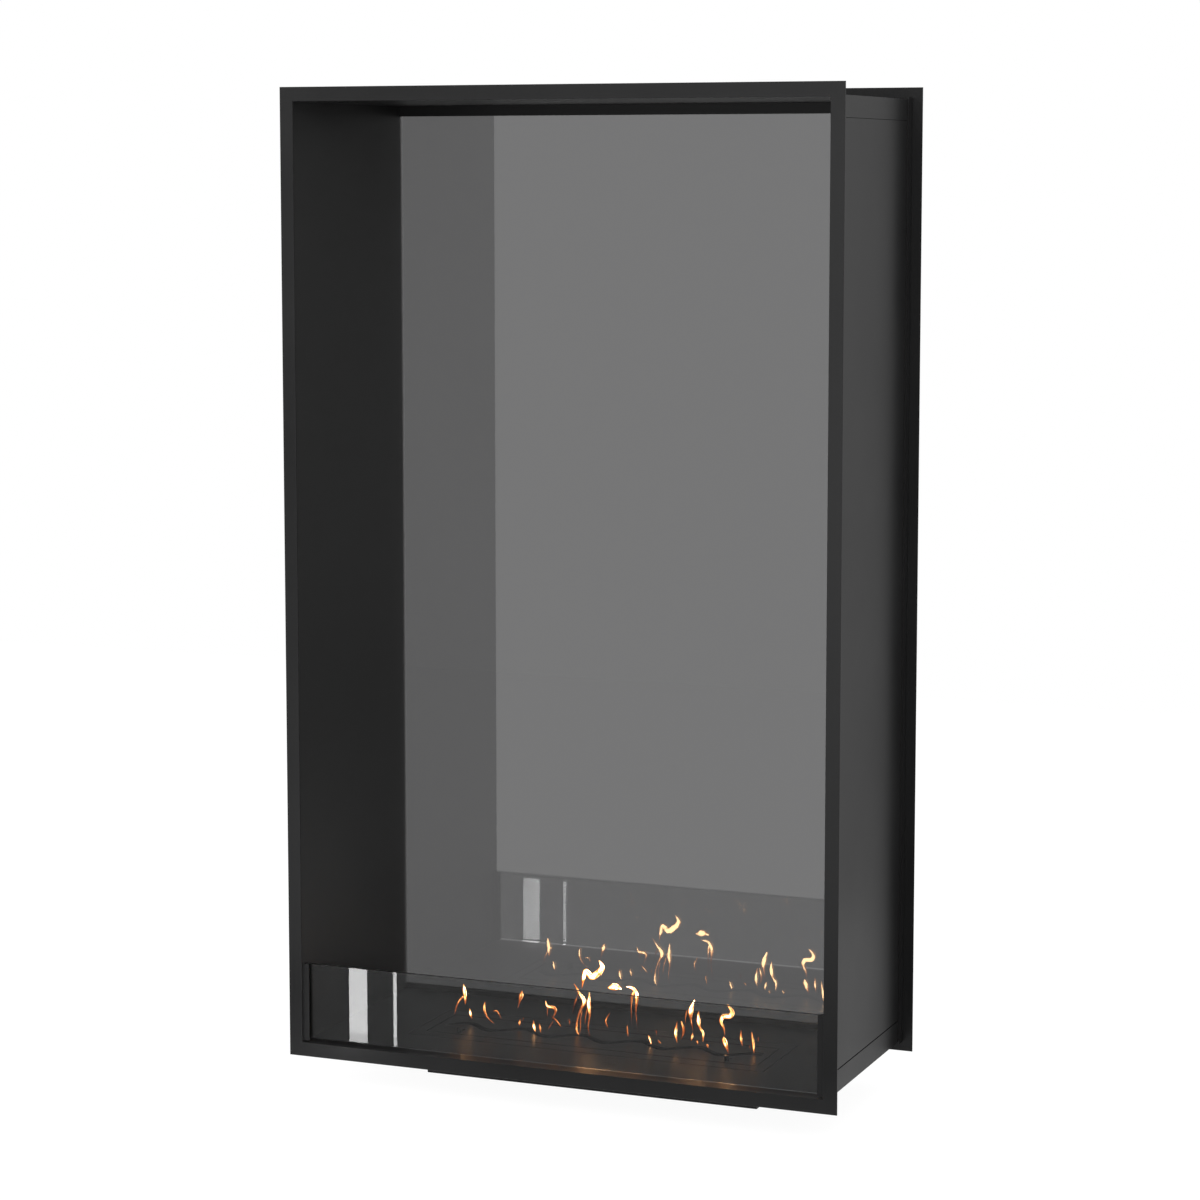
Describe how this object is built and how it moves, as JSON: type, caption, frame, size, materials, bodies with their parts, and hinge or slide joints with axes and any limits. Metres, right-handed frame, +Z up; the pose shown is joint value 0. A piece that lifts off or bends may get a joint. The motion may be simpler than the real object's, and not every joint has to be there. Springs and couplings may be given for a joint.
{
  "type": "double-sided fireplace insert",
  "caption": "Tall see-through built-in fireplace for liquid fuel: black steel casing between two flange frames, low front glass, smoked rear pane and a drop-in burner with a wavy flame slot.",
  "frame": {"origin": "under the middle of the burner's tank, the lowest point, in the casing's middle plane", "axes": "+X to the right seen from the front, the front with the low pane faces -Y, +Z up"},
  "size_m": [0.7, 0.3, 1.206],
  "materials": {
    "powder_coat": "satin black powder coat",
    "heat_paint": "matt black heat-proof paint",
    "channel_paint": "matt black",
    "smoked_glass": "smoked toughened glass",
    "clear_glass": "clear toughened glass",
    "pad_rubber": "silicone setting pads",
    "screw_steel": "blackened steel",
    "burner_paint": "semi-gloss black heat-proof paint",
    "tank_steel": "blackened stainless sheet",
    "ceramic_fibre": "ceramic wool"
  },
  "bodies": {
    "casing": {"front_frame": "powder_coat", "rear_frame": "powder_coat", "top_cover": "powder_coat", "floor_tray": "powder_coat", "left_skin": "powder_coat", "right_skin": "powder_coat", "left_liner": "heat_paint", "right_liner": "heat_paint", "ceiling_liner": "heat_paint", "hearth_floor": "heat_paint", "rear_glass_top_channel": "channel_paint", "rear_glass_bottom_channel": "channel_paint", "rear_glass_pads": "pad_rubber", "rear_channel_screws": "screw_steel", "front_glass_left_channel": "channel_paint", "front_glass_right_channel": "channel_paint", "front_glass_pads": "pad_rubber", "front_channel_screws": "screw_steel"},
    "rear_glass": {"rear_glass": "smoked_glass"},
    "front_glass": {"front_glass": "clear_glass"},
    "burner": {"burner_tank": "tank_steel", "burner_rim": "burner_paint", "fibre_pad": "ceramic_fibre", "fibre_grid": "tank_steel"},
    "burner_top": {"burner_top_plate": "burner_paint", "damper_guides": "tank_steel"},
    "damper": {"damper_slider": "tank_steel", "damper_knobs": "burner_paint"}
  },
  "joints": [
    {"name": "front_glass_lift", "type": "slide", "parent": "casing", "child": "front_glass", "axis": [0, 0, 1], "range_m": [0, 0.1]},
    {"name": "rear_glass_lift", "type": "slide", "parent": "casing", "child": "rear_glass", "axis": [0, 0, 1], "range_m": [0, 0.005]},
    {"name": "burner_lift", "type": "slide", "parent": "casing", "child": "burner", "axis": [0, 0, 1], "range_m": [0, 0.08]},
    {"name": "burner_top_lift", "type": "slide", "parent": "burner", "child": "burner_top", "axis": [0, 0, 1], "range_m": [0, 0.05]},
    {"name": "damper_slide", "type": "slide", "parent": "burner_top", "child": "damper", "axis": [0, 1, 0], "range_m": [0, 0.0133]}
  ]
}
